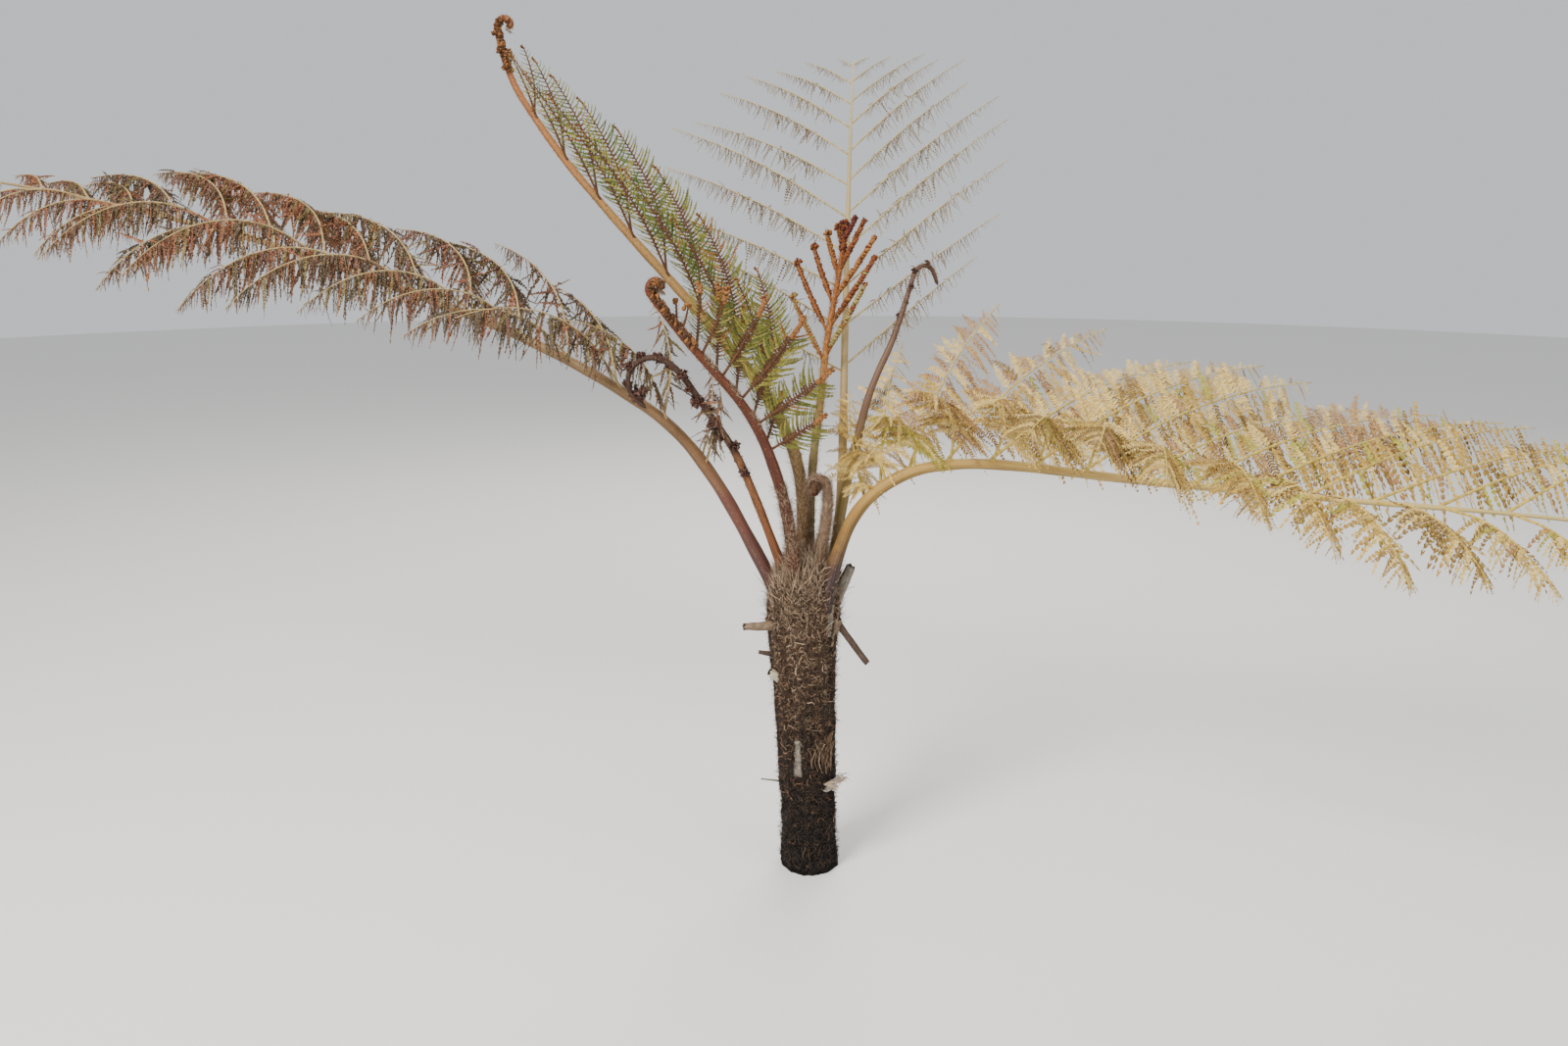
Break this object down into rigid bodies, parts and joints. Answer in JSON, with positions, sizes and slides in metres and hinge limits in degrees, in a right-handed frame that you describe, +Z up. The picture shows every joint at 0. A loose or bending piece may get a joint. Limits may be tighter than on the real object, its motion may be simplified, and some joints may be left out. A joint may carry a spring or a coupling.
{
  "type": "tree fern",
  "caption": "Young tree fern with a short fibrous trunk, arching dry fronds, unfurling olive and rusty fronds and curled croziers.",
  "frame": {"origin": "middle of the flat cut under the trunk, at ground level", "axes": "+Z up along the trunk, +X to the right and +Y away as seen in the picture"},
  "size_m": [3.8317, 1.3368, 1.813],
  "materials": {
    "trunk_fibre": "matted brown root fibre and scales, paler and hairy at the crown, near black at the foot",
    "brown_stalk": "smooth stalk, red-brown to purple-dark at the base, olive-brown above",
    "golden_stalk": "smooth golden to olive stalk, purple-black at the base",
    "red_brown_stalk": "dark red-brown stalk with pale scales and hair",
    "olive_stalk": "olive to orange-brown hairy stalk",
    "withered_brown_leaf": "shrivelled mauve-brown leaflets on tan ribs",
    "golden_dry_leaf": "dry golden tan leaflets on yellow ribs",
    "olive_leaf": "young olive-green leaflets on rusty ribs",
    "rusty_leaf": "rusty orange furled leaflets, hairy",
    "grey_dry_leaf": "sparse dry grey-tan leaflets on straw ribs",
    "crozier_fur": "pale tan hair over a red-brown coiled bud"
  },
  "bodies": {
    "root": {"trunk": "trunk_fibre", "left_frond_stalk": "brown_stalk", "left_frond_inner": "withered_brown_leaf", "left_frond_outer": "withered_brown_leaf", "right_frond_stalk": "golden_stalk", "right_frond_inner": "golden_dry_leaf", "right_frond_outer": "golden_dry_leaf", "front_frond_stalk": "red_brown_stalk", "front_frond_blade": "olive_leaf", "tall_frond_stalk": "olive_stalk", "tall_frond_lower": "olive_leaf", "tall_frond_upper": "olive_leaf", "red_frond_stalk": "olive_stalk", "red_frond_blade": "rusty_leaf", "back_frond_stalk": "golden_stalk", "back_frond_lower": "grey_dry_leaf", "back_frond_upper": "grey_dry_leaf", "small_crozier": "crozier_fur", "dead_crozier_stalk": "red_brown_stalk", "dead_crozier_hook": "withered_brown_leaf", "dying_stem": "brown_stalk"}
  },
  "joints": []
}
